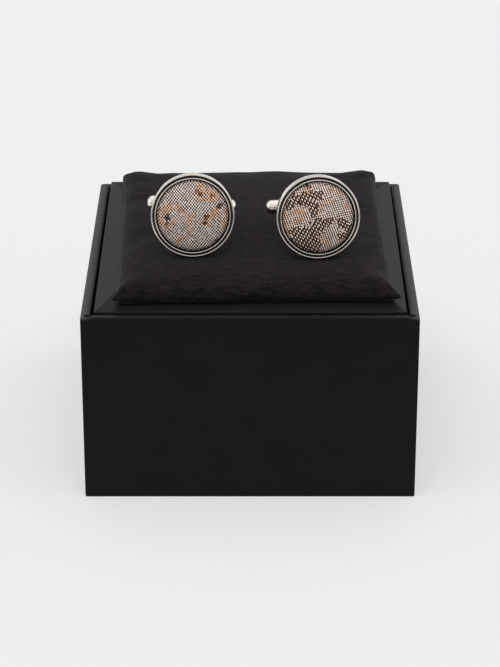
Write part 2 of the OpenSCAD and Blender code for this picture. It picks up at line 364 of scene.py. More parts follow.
@dataclass(frozen=True)
class JacquardSilk(Finish):
    """Figured silk: pale threads float over a dark ground warp and dive again.

    In the plain ground the floats and the dark gaps between them make an even lattice of
    diamonds, 0.62 by 0.74 mm each. In the copper leaves and the pale stripes the floats join into
    slanting lines. In the bold leaves every second float is left out, so that pale ovals lie on
    brown and black. Silk filament is smooth, so each float has a small bright glint.
    """

    ivory: str = "#eaddd5"
    taupe: str = "#7c6c64"
    copper: str = "#b4794d"
    peach: str = "#dfb798"
    umber: str = "#5c3a22"
    ground: str = "#070403"
    leaf_rise: float = 0.6
    oval_rise: float = 0.4
    oval_sink: float = 0.25
    oval_shift: float = 0.1
    knot: float = 0.16
    slub: float = 0.5
    slub_swing: float = 1.3
    warp_sink: float = 0.7
    leaf_light: float = 0.3
    leaf_dark: float = 0.12
    fleck_gain: float = 0.1
    fleck_loss: float = 0.1
    blush: float = 0.35
    ground_edge: Point2 = (-0.6, 0.0)
    brown_edge: Point2 = (-0.3, 0.3)
    float_edge: Point2 = (0.0, 0.45)
    fleck_edge: Point2 = (0.5, 0.66)
    rough: Point2 = (0.8, 0.38)

    def rows(self) -> tuple[Row, ...]:
        """Gives the lattice, then the figure's threads, then the colours from the ground up.

        Returns:
            The table of nodes.
        """
        reads = ("across", "along", "slant", "copper", "umber", "warp")
        phases = {"rising": "sum", "falling": "difference", "oval": "shifted", "beat": "along"}
        ivory, taupe, copper, peach, umber, ground = (linear(colour) for colour in (
            self.ivory, self.taupe, self.copper, self.peach, self.umber, self.ground))
        return (
            *((name, f"Attribute {name}") for name in reads),
            ("sum", "Math ADD", "across", "along"),
            ("difference", "Math SUBTRACT", "across", "along"),
            ("shifted", "Math ADD", "across", self.oval_shift),
            *((f"{wave} turn", "Math MULTIPLY", at, math.tau) for wave, at in phases.items()),
            *((wave, "Math COSINE", f"{wave} turn") for wave in phases),
            ("cloth", "Mix FLOAT", "slant", "falling", "rising"),
            ("plain", "Math MULTIPLY", "cloth", -1.0),
            ("ovals", "Math ADD", "oval", "beat"),
            ("spots", "Math MULTIPLY_ADD", "ovals", self.oval_rise, -self.oval_sink),
            ("leaf", "Math MULTIPLY_ADD", "falling", self.leaf_rise, "spots"),
            ("oval_edge", "Math ABSOLUTE", "oval"),
            ("bold", "Math MULTIPLY_ADD", "oval_edge", -self.knot, "leaf"),
            ("figured", "Mix FLOAT", "umber", "plain", "bold"),
            ("slubs", "TexNoise", "place", per_mm(self.slub), 1.0),
            ("chance", "SeparateColor", "slubs.Color"),
            ("thick", "Math MULTIPLY_ADD", "slubs", self.slub_swing, -self.slub_swing / 2),
            ("uneven", "Math MULTIPLY_ADD", "warp", -self.warp_sink, "thick"),
            ("tone", "Math ADD", "figured", "uneven"),
            ("lit", "Math MULTIPLY_ADD", "umber", self.leaf_light, "tone"),
            ("above_ground", "MapRange SMOOTHSTEP", "lit", *self.ground_edge),
            ("luck", "Math MULTIPLY_ADD", "copper", self.fleck_gain, "chance.Green"),
            ("fleck", "MapRange SMOOTHSTEP", "luck", *self.fleck_edge),
            ("flecked", "Math MULTIPLY", "copper", "fleck"),
            ("blushed", "Math MULTIPLY_ADD", "copper", self.blush, "flecked"),
            ("coppered", "Mix RGBA", "blushed", taupe, copper),
            ("off_brown", "MapRange SMOOTHSTEP", "tone", *self.brown_edge),
            ("on_brown", "Math SUBTRACT", 1.0, "off_brown"),
            ("browned", "Math MULTIPLY", "umber", "on_brown"),
            ("middle", "Mix RGBA", "browned", "coppered", umber),
            ("threads", "Mix RGBA", "above_ground", ground, "middle"),
            ("sunk", "Math MULTIPLY_ADD", "umber", -self.leaf_dark, "tone"),
            ("crest", "Math MULTIPLY_ADD", "flecked", -self.fleck_loss, "sunk"),
            ("pale", "MapRange SMOOTHSTEP", "crest", *self.float_edge),
            ("floats", "Mix RGBA", "flecked", ivory, peach),
            ("tint", "Mix RGBA", "pale", "threads", "floats"),
            ("rough", "MapRange", "above_ground", 0.0, 1.0, *self.rough))

    def surface(self) -> dict[str, Value]:
        """Gives what the shader takes, with the silk's glint."""
        return {"Base Color": "tint", "Roughness": "rough", "Specular IOR Level": 0.18,
                "Sheen Weight": 0.06, "Sheen Roughness": 0.4}

    def lift(self, across: float, along: float, slant: float, bold: float) -> float:
        """Gives how high the weave stands at a place, by the same waves as in its table.

        Args:
            across: The place across the weave, in diamonds.
            along: The place along the weave, in diamonds.
            slant: How much the floats lean the one way rather than the other.
            bold: The share of the bold leaf there.

        Returns:
            The height, about -1 in a gap and 1 on a float.
        """
        rising, falling, oval, beat = (math.cos(math.tau * turn) for turn in (
            across + along, across - along, across + self.oval_shift, along))
        plain = -slant * rising - (1 - slant) * falling
        spots = self.oval_rise * (oval + beat) - self.oval_sink - self.knot * abs(oval)
        return plain * (1 - bold) + (self.leaf_rise * falling + spots) * bold


@dataclass(frozen=True)
class PaleSweep(Finish):
    """The opal acrylic of a light table, lit from below so that only faint shadows fall on it."""

    colour: str = "#9a9a9b"
    mottle: str = "#98989a"
    glow: str = "#b4b4b3"
    patch: float = 120.0

    def rows(self) -> tuple[Row, ...]:
        """Gives a barely mottled white."""
        return (("mottle", "TexNoise", "place", per_mm(self.patch)),
                ("tint", "Mix RGBA", "mottle", linear(self.colour), linear(self.mottle)))

    def surface(self) -> dict[str, Value]:
        """Gives what the shader takes."""
        return {"Base Color": "tint", "Roughness": 0.95, "Specular IOR Level": 0.0,
                "Emission Color": linear(self.glow), "Emission Strength": 1.0}


# The box's paper, with wear and painted sheen along its side rims.
BOX_PAPER = RimWearAndSheenPaper("matt_black_paper", gloss=0.085)
# Painted shade: a flat near-black paper without gloss or sheen, for the faces seen only down the
# dark gap between the box's walls and the liner.
GAP_SHADE_PAPER = WrappedPaper("dull_black_lining", colour="#020202", mottle="#050505", rough=0.8,
                           gloss=0.0, bloom=0.0)
LINER_PAPER = WrappedPaper("satin_black_paper", colour="#0c0b0e", mottle="#121114", rough=0.34,
                           gloss=0.15, bloom=0.04)
# The same paper with its fibres running across the view, where it shines less.
ACROSS_PAPER = WrappedPaper("satin_black_paper_across", colour="#131215", mottle="#19181b",
                            rough=0.42, gloss=0.07, bloom=0.03)
CUSHION_CLOTH = SuedeCloth("black_suede_cloth")
PLATE = RhodiumPlate("polished_rhodium_plate")
# The dark coat of the groove, which is also the painted shade on the recess wall.
GROOVE = DarkGrooveAndGapShade("blackened_groove")
SILK = JacquardSilk("jacquard_silk")
SWEEP = PaleSweep("pale_sweep")


class Element(Enum):
    """What can be selected on the bench."""

    FACE = "faces"
    EDGE = "edges"


class Workpiece:
    """One mesh on the bench, in millimetres, shaped with the edit-mode tools."""

    def __init__(self, thing: bpy.types.Object, name: str) -> None:
        """Takes the one selected object, with its place in its mesh, into edit mode.

        Args:
            thing: The object.
            name: The piece's name.
        """
        self.thing = thing
        thing.name = thing.data.name = name
        bpy.ops.object.transform_apply(location=True, rotation=True, scale=True)
        bpy.ops.object.mode_set(mode="EDIT")
        bpy.ops.mesh.select_all(action="DESELECT")

    @classmethod
    def start(cls, name: str, primitive: Callable[..., object],
              **settings: object) -> "Workpiece":
        """Starts from a primitive.

        Args:
            name: The piece's name.
            primitive: The operator that adds it.
            **settings: The operator's settings.

        Returns:
            The primitive on the bench.
        """
        bpy.ops.object.select_all(action="DESELECT")
        primitive(**settings)
        return cls(bpy.context.object, name)

    @classmethod
    def block(cls, name: str, low: Sequence[float], high: Sequence[float]) -> "Workpiece":
        """Starts from a block between two corners.

        Args:
            name: The piece's name.
            low: Its lowest corner.
            high: Its highest corner.

        Returns:
            The block on the bench.
        """
        return cls.start(name, bpy.ops.mesh.primitive_cube_add, size=1,
                         location=[(a + b) / 2 for a, b in zip(low, high)],
                         scale=[b - a for a, b in zip(low, high)])

    @classmethod
    def rod(cls, name: str, radius: float, low: float, high: float, sides: int,
            along_y: bool = False) -> "Workpiece":
        """Starts from a round rod about Z, or about Y.

        Args:
            name: The piece's name.
            radius: Its radius.
            low: Where it starts along its axis.
            high: Where it ends along its axis.
            sides: How many sides stand for the round.
            along_y: Whether it lies along Y.

        Returns:
            The rod on the bench.
        """
        middle = (low + high) / 2
        return cls.start(name, bpy.ops.mesh.primitive_cylinder_add, vertices=sides,
                         radius=radius, depth=high - low,
                         location=(0, middle, 0) if along_y else (0, 0, middle),
                         rotation=(math.pi / 2 if along_y else 0, 0, 0))

    @classmethod
    def turned(cls, name: str, outline: Sequence[Point2], steps: int) -> "Workpiece":
        """Turns an outline round the X axis, as on a lathe.

        Args:
            name: The piece's name.
            outline: Places along X with their radii, from end to end.
            steps: How many steps make the full turn.

        Returns:
            The turned piece on the bench.
        """
        work = cls.start(name, bpy.ops.mesh.primitive_plane_add, size=1)
        bpy.ops.mesh.select_mode(type="VERT")
        bpy.ops.mesh.select_all(action="SELECT")
        bpy.ops.mesh.merge(type="CENTER")
        bpy.ops.transform.translate(value=(outline[0][0], 0, outline[0][1]))
        for (x0, r0), (x1, r1) in zip(outline, outline[1:]):
            bpy.ops.mesh.extrude_vertices_move(
                TRANSFORM_OT_translate={"value": (x1 - x0, 0, r1 - r0)})
        bpy.ops.mesh.select_all(action="SELECT")
        bpy.ops.mesh.spin(steps=steps, angle=math.tau, center=(0, 0, 0), axis=(1, 0, 0))
        return work.tidy()

    def pick(self, kind: Element, test: Callable[[object], bool]) -> "Workpiece":
        """Selects the faces or the edges that pass a test.

        Args:
            kind: Which of the two.
            test: Takes the face or the edge.

        Returns:
            The piece.
        """
        bpy.ops.mesh.select_mode(type=kind.name)
        shape = bmesh.from_edit_mesh(self.thing.data)
        for item in getattr(shape, kind.value):
            item.select_set(test(item))
        bmesh.update_edit_mesh(self.thing.data)
        return self

    def faces(self, test: Test) -> "Workpiece":
        """Selects the faces whose middle and normal pass a test."""
        return self.pick(Element.FACE,
                         lambda face: test(face.calc_center_median(), face.normal))

    def edges(self, test: Test) -> "Workpiece":
        """Selects the edges whose two ends pass a test."""
        return self.pick(Element.EDGE,
                         lambda edge: test(edge.verts[0].co, edge.verts[1].co))

    def inset(self, width: float) -> "Workpiece":
        """Insets the selected faces."""
        bpy.ops.mesh.inset(thickness=width)
        return self

    def extrude(self, way: Point3) -> "Workpiece":
        """Extrudes the selected faces along a direction."""
        bpy.ops.mesh.extrude_region_move(TRANSFORM_OT_translate={"value": way})
        return self

    def bevel(self, width: float, segments: int) -> "Workpiece":
        """Rounds the selected edges."""
        bpy.ops.mesh.bevel(offset=width, segments=segments, affect="EDGES")
        return self

    def coat(self, index: int) -> "Workpiece":
        """Gives the selected faces another of the piece's finishes.

        Args:
            index: Which of the finishes, counted from 0.

        Returns:
            The piece.
        """
        while len(self.thing.data.materials) <= index:
            self.thing.data.materials.append(None)
        shape = bmesh.from_edit_mesh(self.thing.data)
        for face in shape.faces:
            if face.select:
                face.material_index = index
        bmesh.update_edit_mesh(self.thing.data)
        return self

    def tidy(self) -> "Workpiece":
        """Merges doubled points and turns every face outwards.

        Returns:
            The piece.
        """
        bpy.ops.mesh.select_all(action="SELECT")
        bpy.ops.mesh.remove_doubles(threshold=1e-4)
        bpy.ops.mesh.normals_make_consistent(inside=False)
        bpy.ops.mesh.select_all(action="DESELECT")
        return self

    def off_bench(self) -> "Workpiece":
        """Leaves edit mode, so that another piece can be worked on."""
        bpy.ops.object.mode_set(mode="OBJECT")
        return self

    def modify(self, name: str, kind: str, **settings: object) -> "Workpiece":
        """Adds a modifier and applies it, off the bench.

        Args:
            name: The modifier's name.
            kind: Blender's name for its kind.
            **settings: Its settings.

        Returns:
            The piece.
        """
        self.off_bench()
        bpy.context.view_layer.objects.active = self.thing
        modifier = self.thing.modifiers.new(name, kind)
        for setting, value in settings.items():
            setattr(modifier, setting, value)
        bpy.ops.object.modifier_apply(modifier=modifier.name)
        return self

    def cut(self, cutters: Sequence["Workpiece"]) -> "Workpiece":
        """Cuts other pieces out of this one and throws them away.

        Args:
            cutters: The other pieces.

        Returns:
            The piece, on the bench.
        """
        for cutter in cutters:
            self.modify("cut", "BOOLEAN", object=cutter.thing, solver="EXACT")
            bpy.data.objects.remove(cutter.thing, do_unlink=True)
            self.thing.select_set(True)
            bpy.ops.object.mode_set(mode="EDIT")
        return self

    def join(self, other: "Workpiece") -> "Workpiece":
        """Joins a second piece into this one as one soldered piece.

        Args:
            other: The second piece.

        Returns:
            The joined piece.
        """
        bpy.ops.object.select_all(action="DESELECT")
        other.thing.select_set(True)
        self.thing.select_set(True)
        bpy.context.view_layer.objects.active = self.thing
        bpy.ops.object.join()
        return self


@dataclass
class Assembly:
    """What each sub-assembly shares: how a finished piece leaves the bench for the frame."""

    def finish(self, work: Workpiece, finishes: Sequence[Finish], body: str, node: str,
               place: Matrix | None = None, crease: float = 35.0) -> bpy.types.Object:
        """Moves a piece into the frame and says what it is.

        Args:
            work: The piece on the bench.
            finishes: Its finishes, the main one first.
            body: The body that it rides on.
            node: The node of the frame that it stands for.
            place: Where it goes, in millimetres, or where it was made.
            crease: The angle in degrees above which an edge stays sharp.

        Returns:
            The finished object.
        """
        thing = work.off_bench().thing
        thing.data.transform(Matrix.Scale(MM, 4) @ (place or Matrix.Identity(4)))
        for index, finish in enumerate(finishes):
            if index < len(thing.data.materials):
                thing.data.materials[index] = finish.material()
            else:
                thing.data.materials.append(finish.material())
        bpy.ops.object.select_all(action="DESELECT")
        thing.select_set(True)
        bpy.context.view_layer.objects.active = thing
        bpy.ops.object.shade_smooth_by_angle(angle=math.radians(crease))
        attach(thing, body)
        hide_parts(node)
        log.info("%s: %d faces on %s", thing.name, len(thing.data.polygons), body)
        return thing


def corners(node: str) -> tuple[Vector, Vector]:
    """Gives a node's lowest and highest corners in millimetres."""
    low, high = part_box(node)
    return Vector(low) / MM, Vector(high) / MM


@dataclass
class PresentationBox(Assembly):
    """The lidless box: four walls and a base of board, wrapped in black paper."""

    board: float = 2.0
    fold_r: float = 0.35
    roll_r: float = 0.6
    inner_fold_r: float = 0.3
    notch_w: float = 1.3
    notch_depth: float = 0.8
    notch_end: float = 0.7
    notch_start: float = 0.4
    notch_round: float = 0.42

    def build(self) -> None:
        """Shapes the wrapped walls and cuts the two front notches."""
        low, high = corners("box_shell")
        work = Workpiece.block("wrapped_box", low, high)
        work.faces(lambda mid, normal: normal.z > FACING).inset(self.board)
        work.extrude((0, 0, self.board - high.z))
        self.mark_folds(work, high)
        work.modify("wrap", "BEVEL", limit_method="WEIGHT", width=self.roll_r, segments=6)
        work.cut([self.notch(side, low, high) for side in (-1, 1)])
        back = low.y + self.board
        work.edges(lambda a, b: min(a.z, b.z) > high.z - 2 * NEAR
                   and max(abs(a.y - back), abs(b.y - back)) < 2 * NEAR)
        work.bevel(self.inner_fold_r, 4)
        # Painted shade: the box's inner faces, below the rims, take the near-black paper.
        inside = high.xy - Vector((self.board - 5 * NEAR,) * 2)
        work.faces(lambda mid, normal: abs(mid.x) < inside.x and abs(mid.y) < inside.y
                   and mid.z < high.z - self.roll_r).coat(1)
        self.finish(work, [BOX_PAPER, GAP_SHADE_PAPER], "box", "box_shell")

    def mark_folds(self, work: Workpiece, high: Vector) -> None:
        """Marks how wide each wrapped edge is rounded, widest over the rims of the side walls.

        Args:
            work: The box on the bench.
            high: The box's highest corner.
        """
        shape = bmesh.from_edit_mesh(work.thing.data)
        rounding = shape.edges.layers.float.new("bevel_weight_edge")
        for edge in shape.edges:
            a, b = (point.co for point in edge.verts)
            on_rim = min(a.z, b.z) > high.z - NEAR
            upright = (abs(a.z - b.z) > 1 and abs(a.x) > high.x - NEAR
                       and abs(a.y) > high.y - NEAR)
            rolled = on_rim and abs(a.x - b.x) < NEAR and abs(a.x) < high.x - 1
            if on_rim or upright or max(a.z, b.z) < NEAR:
                edge[rounding] = 1.0 if rolled else self.fold_r / self.roll_r
        bmesh.update_edit_mesh(work.thing.data)

    def notch(self, side: int, low: Vector, high: Vector) -> Workpiece:
        """Shapes the cutter of one notch, behind the front panel's rim.

        Args:
            side: -1 for the left notch, 1 for the right one.
            low: The box's lowest corner.
            high: The box's highest corner.

        Returns:
            The cutter.
        """
        back = low.y + self.board
        ends = sorted((side * (high.x - self.board - self.notch_start),
                       side * (high.x - self.notch_end)))
        floor = high.z - self.notch_depth
        work = Workpiece.block("notch", (ends[0], back - self.notch_w, floor),
                               (ends[1], back, high.z + 1))
        work.edges(lambda a, b: max(a.z, b.z) < floor + NEAR or abs(a.z - b.z) > 0.5)
        return work.bevel(self.notch_round * self.notch_w, 4).off_bench()


@dataclass
class Liner(Assembly):
    """The wrapped insert: a top that falls away a little towards its edges, on four skirts."""

    tilt: float = 1.06
    fold_r: float = 0.33
    top_t: float = 1.6
    skirt_t: float = 1.2
    droop: float = 0.22
    top_zone: float = 2.0
    top_inset: float = 2.0
    hollow_gap: float = 1.0
    front_crease: Point2 = (3.9, 10.2)
    back_crease: Point2 = (2.4, 4.6)
    crease_r: float = 0.2
    across_from: float = 20.0

    def build(self) -> None:
        """Shapes the top with its four creases, and hollows it from below."""
        low, high = corners("liner")
        rise = math.tan(math.radians(self.tilt))
        middle = (low + high) / 2
        top = high.z - rise * (high.y - middle.y)
        near = top - self.top_zone
        work = Workpiece.block("wrapped_liner", low, (high.x, high.y, top))
        work.faces(lambda mid, normal: normal.z > FACING).inset(self.top_inset).off_bench()
        self.crease_top(work, low, high, rise)
        bpy.ops.object.mode_set(mode="EDIT")
        work.faces(lambda mid, normal: normal.z < -FACING).inset(self.skirt_t)
        work.extrude((0, 0, top - self.top_t - low.z - self.hollow_gap))

        def inward(a: Vector, b: Vector) -> float:
            """Gives how near the nearer end lies to the middle."""
            return min(abs(a.x - middle.x), abs(b.x - middle.x))

        def outer_fold(a: Vector, b: Vector) -> bool:
            """Says whether an edge is a fold at the outside.

            Args:
                a: One end.
                b: The other end.

            Returns:
                Whether it is.
            """
            on_top = min(a.z, b.z) > near
            upright = abs(a.z - b.z) > 1 and abs(a.x - b.x) < NEAR
            at_end = min(abs(a.y), abs(b.y)) > high.y - NEAR and abs(a.y - b.y) < NEAR
            at_side = inward(a, b) >= high.x - middle.x - NEAR
            return at_side and (on_top or upright) or at_end and on_top

        work.edges(outer_fold).bevel(self.fold_r, 4)
        rounded = self.fold_r + 5 * NEAR
        work.edges(lambda a, b: min(a.z, b.z) > near
                   and inward(a, b) < high.x - middle.x - rounded and (a - b).length > 1.0
                   and min(abs(a.y), abs(b.y)) <= high.y - rounded)
        work.bevel(self.crease_r, 3)
        # Painted shade: the liner's skirts and underside take the near-black paper.
        work.faces(lambda mid, normal: mid.z < near - 0.5).coat(1)
        work.faces(lambda mid, normal: mid.z > near and abs(mid.x) < high.x - self.fold_r
                   and abs(mid.y) > self.across_from and abs(normal.x) < NEAR).coat(2)
        self.finish(work, [LINER_PAPER, GAP_SHADE_PAPER, ACROSS_PAPER], "box", "liner", crease=60.0)

    def crease_top(self, work: Workpiece, low: Vector, high: Vector, rise: float) -> None:
        """Droops the top's edges, moves its inner corners to the creases and tilts it.

        Args:
            work: The liner, off the bench.
            low: Its lowest corner.
            high: Its highest corner.
            rise: How much it rises towards the back for each millimetre.
        """
        middle = (low + high) / 2
        top = max(point.co.z for point in work.thing.data.vertices)
        for point in work.thing.data.vertices:
            if point.co.z < top - NEAR:
                continue
            if min(point.co.x - low.x, high.x - point.co.x) < NEAR:
                point.co.z -= self.droop
            else:
                run = self.front_crease if point.co.y < 0 else self.back_crease
                point.co.x = high.x - run[0] if point.co.x > middle.x else low.x + run[0]
                point.co.y = high.y - run[1] if point.co.y > 0 else low.y + run[1]
            point.co.z += rise * (point.co.y - middle.y)


@dataclass(frozen=True)
class Motif:
    """One part of the woven figure: a thread brought up along a run of points."""

    thread: Thread
    width: float
    run: tuple[Point2, ...]

    def reach(self, x: float, y: float) -> float:
        """Gives how far outside the motif a point is, less than zero inside it.

        Args:
            x: The point's place to the right.
            y: The point's place upwards.

        Returns:
            The distance in millimetres.
        """
        here = Vector((x, y))
        stops = [Vector(point) for point in self.run]
        if len(stops) == 1:
            return (here - stops[0]).length - self.width / 2
        best = math.inf
        for a, b in zip(stops, stops[1:]):
            share = fade((here - a).dot(b - a), 0.0, (b - a).length_squared)
            best = min(best, (here - a.lerp(b, share)).length)
        return best - self.width / 2


def figure(**threads: Sequence[tuple[float | Point2, ...]]) -> tuple[Motif, ...]:
    """Reads the chart of one figure.

    Args:
        **threads: For each thread its motifs, each a width and the points of its run.

    Returns:
        The motifs.
    """
    return tuple(Motif(Thread(name), width, tuple(run))
                 for name, chart in threads.items() for width, *run in chart)


# The two figures, in millimetres from the middle of each face, +X right and +Y up. They are plain
# leaves, stems and blossoms of the kind that small figured silks carry.
LEFT_FIGURE = figure(
    copper=(
        (1.9, (1.5, 5.8), (2.8, 5.5), (4.2, 4.6), (5.3, 3.9)),
        (1.1, (1.2, 5.6), (1.2, 3.6), (3.2, 3.5), (4.6, 3.7)),
        (1.3, (-4.3, 1.9), (-5.5, 1.5), (-6.6, 0.9), (-7.1, -0.4), (-6.6, -1.7), (-5.8, -2.4),
         (-5.0, -2.1), (-4.6, -1.5)),
        (1.1, (-5.2, 1.4), (-3.2, 2.0), (-2.1, 0.9), (-1.4, -0.2)),
        (0.95, (-0.2, 0.2), (-0.3, -0.6), (-1.0, -0.9), (-0.9, -1.8), (-0.6, -3.2),
         (-1.3, -4.2), (-2.3, -5.0), (-3.4, -6.2)),
        (1.9, (2.6, -1.5), (3.4, -0.7), (4.6, 0.3), (5.2, 1.0)),
        (1.2, (6.9, 1.1), (7.2, -0.6), (7.1, -2.0), (6.8, -3.2))),
    warp=(
        (0.7, (5.4, 1.7), (6.1, 2.1)),
        (0.7, (1.0, 5.3), (1.5, 4.9)),
        (0.6, (4.3, 4.4), (4.7, 4.1)),
        (0.8, (-5.8, -0.2), (-5.1, -0.7)),
        (0.5, (-5.7, -1.5)),
        (0.55, (2.9, -0.1), (2.3, -1.8)),
        (0.6, (5.1, -6.0), (5.7, -5.5))))
RIGHT_FIGURE = figure(
    umber=(
        (1.7, (-6.2, 2.6), (-4.8, 3.9), (-2.8, 4.5), (-0.8, 4.8), (0.2, 4.7)),
        (2.1, (-2.6, 3.4), (-1.5, 2.7), (-1.0, 1.4)),
        (1.5, (-1.0, -1.3), (0.2, -1.1), (1.6, -0.9), (2.6, -0.9)),
        (2.1, (0.6, -2.2), (-0.4, -3.0), (-1.6, -3.0)),
        (2.6, (-3.2, -3.2), (-4.9, -3.5), (-4.9, -4.8), (-3.2, -5.2), (-1.6, -4.9),
         (-0.6, -5.6), (-1.6, -6.5), (-3.0, -6.4)),
        (1.8, (4.6, -1.4), (5.5, -2.0), (6.6, -2.7), (6.2, -3.8), (5.1, -4.3)),
        (0.6, (-2.5, 6.6), (-1.8, 6.4))),
    copper=(
        (0.8, (0.0, 0.9), (0.6, 2.2), (1.8, 3.1), (3.3, 3.5)),
        (0.9, (2.8, 5.9), (4.3, 5.3), (5.2, 5.2)),
        (0.9, (-1.6, 6.4), (-2.6, 5.7), (-2.4, 5.2)),
        (0.8, (6.3, 1.9), (7.2, 1.7), (7.5, 1.0)),
        (1.5, (-4.6, 1.4), (-3.4, 1.2), (-3.1, 0.0), (-4.2, -0.6)),
        (1.0, (-7.0, 0.8), (-6.7, -1.2), (-6.0, -2.2), (-6.2, -4.0)),
        (1.0, (0.8, -4.0), (1.4, -5.4), (2.0, -6.4))),
    ivory=(
        (2.3, (2.7, -2.4), (3.4, -4.0), (4.0, -5.6)),
        (1.1, (-2.5, 1.4), (-2.0, -0.2), (-1.7, -1.0)),
        (1.4, (-0.6, 6.8), (0.8, 5.9), (1.5, 4.9))))


@dataclass
class Cufflink(Assembly):
    """One cufflink. Its own frame has the middle of the bezel's front at the origin, the face
    looking along +Z and the toggle along X."""

    side: str
    yaw: float
    roll: float
    weave_turn: float
    stripe_slant: float
    warmth: float
    figure: tuple[Motif, ...]
    lean: float = 13.0
    bezel_r: float = 9.0
    bezel_t: float = 3.0
    back_edge_r: float = 0.3
    outer_bead_w: float = 0.31
    bead_step: float = 0.25
    bead_round: float = 0.48
    groove_w: float = 0.5
    groove_depth: float = 0.6
    black_from: float = 0.44
    black_margin: float = 0.1
    recess_lip: float = 0.2
    inner_bead_w: float = 0.22
    recess_depth: float = 2.2
    foot_r: float = 3.4
    foot_t: float = 0.7
    foot_edge_r: float = 0.35
    solder: float = 0.3
    reach: float = 17.4
    toggle_len: float = 19.7
    toggle_r: float = 1.7
    collar_rise: float = 0.15
    collar_len: float = 0.9
    collar_foot: float = 0.03
    collar_run: float = 0.2
    neck_run: float = 0.04
    neck: float = 0.15
    nose_len: float = 2.8
    blunt: float = 0.78
    post_w: float = 3.6
    tine_t: float = 0.9
    tine_gap: float = 4.0
    slot_root: float = 5.0
    soft_edge_r: float = 0.12
    pin_r: float = 0.6
    pin_head: float = 0.2
    pin_edge_r: float = 0.16
    bore_gap: float = 0.05
    bore_reach: float = 3.0
    silk_gap: float = 0.27
    silk_edge_depth: float = 0.4
    silk_back_gap: float = 0.1
    dome_h: float = 1.5
    tuck_run: float = 1.2
    tuck_depth: float = 0.45
    lattice: Point2 = (0.618, 0.742)
    wobble: float = 0.12
    wobble_pace: float = 0.7
    ragged: float = 0.5
    ragged_layers: tuple[Point2, ...] = ((1.7, 4.0), (0.6, 8.0))
    even_slant: float = 0.5
    drift: float = 0.12
    drift_pace: float = 0.25
    drift_layer: float = 9.0
    relief: float = 0.035
    silk_steps: int = 236
    place: Matrix = field(init=False)

    def __post_init__(self) -> None:
        """Works out where the cufflink stands from the hinge of its toggle."""
        turn = (Matrix.Rotation(math.radians(self.yaw), 4, "Z")
                @ Matrix.Rotation(math.radians(90 - self.lean), 4, "X")
                @ Matrix.Rotation(math.radians(self.roll), 4, "Z"))
        joint = next(j for j in frame["record"]["behaviour"]["joints"]
                     if j["name"] == f"{self.side}_toggle_swivel")
        hinge = Vector(joint["pos_m"]) / MM
        self.place = Matrix.Translation(hinge + turn.to_3x3() @ Vector((0, 0, self.reach))) @ turn

    def build(self) -> None:
        """Builds the bezel, the post, the pin, the toggle and the silk face."""
        metal = f"{self.side}_bezel_post"
        self.finish(self.bezel(), [PLATE, GROOVE], "box", metal, self.place, crease=40.0)
        self.finish(self.post(), [PLATE], "box", metal, self.place)
        self.finish(self.pin(), [PLATE], "box", metal, self.place)
        self.finish(self.toggle(), [PLATE], f"{self.side}_toggle_bar", f"{self.side}_toggle",
                    self.place, crease=50.0)
        self.silk()

    def bezel(self) -> Workpiece:
        """Shapes the cup: two beads with a groove between them, round a recess.

        Returns:
            The bezel on the bench.
        """
        groove_out = self.bezel_r - self.outer_bead_w
        groove_in = groove_out - self.groove_w
        recess_r = groove_in - self.inner_bead_w
        work = Workpiece.rod(f"{self.side}_bezel", self.bezel_r, -self.bezel_t, 0.0, 160)

        def front(r_low: float, r_high: float) -> Test:
            """Gives a test for the faces at the front between two radii."""
            return lambda mid, normal: (normal.z > FACING and mid.z > -NEAR
                                        and r_low <= mid.xy.length < r_high)

        def ring(radius: float, z: float) -> Test:
            """Gives a test for the edges on a circle."""
            return lambda a, b: all(abs(p.xy.length - radius) < 2 * NEAR
                                    and abs(p.z - z) < NEAR for p in (a, b))

        work.faces(front(0, 1)).inset(self.outer_bead_w).inset(self.groove_w)
        work.inset(self.inner_bead_w).extrude((0, 0, -self.recess_depth))
        work.faces(front(groove_in, groove_out)).extrude((0, 0, -self.groove_depth))
        work.faces(front(groove_out, self.bezel_r))
        bpy.ops.transform.translate(value=(0, 0, -self.bead_step))
        for edge_r, level, width in ((self.bezel_r, -self.bead_step, self.outer_bead_w),
                                     (groove_out, -self.bead_step, self.outer_bead_w),
                                     (groove_in, 0.0, self.inner_bead_w),
                                     (recess_r, 0.0, self.inner_bead_w)):
            work.edges(ring(edge_r, level)).bevel(self.bead_round * width, 5)
        work.edges(ring(self.bezel_r, -self.bezel_t)).bevel(self.back_edge_r, 3)

        def takes_dark_coat(mid: Vector, normal: Vector) -> bool:
            """Says whether a face takes the dark coat: low in the groove, and as painted shade on
            the recess wall.

            Args:
                mid: The face's middle.
                normal: Its normal, which makes no difference.

            Returns:
                Whether it does.
            """
            out = mid.xy.length
            in_groove = groove_in - 2 * NEAR < out < groove_out + 2 * NEAR
            # Painted shade: the recess wall round the silk is coated dark.
            in_recess = out < recess_r + 2 * NEAR
            margin = self.black_margin
            return (in_recess and -self.recess_depth - margin < mid.z < -self.recess_lip
                    or in_groove and -self.groove_depth - margin < mid.z < -self.black_from)

        return work.faces(takes_dark_coat).coat(1)

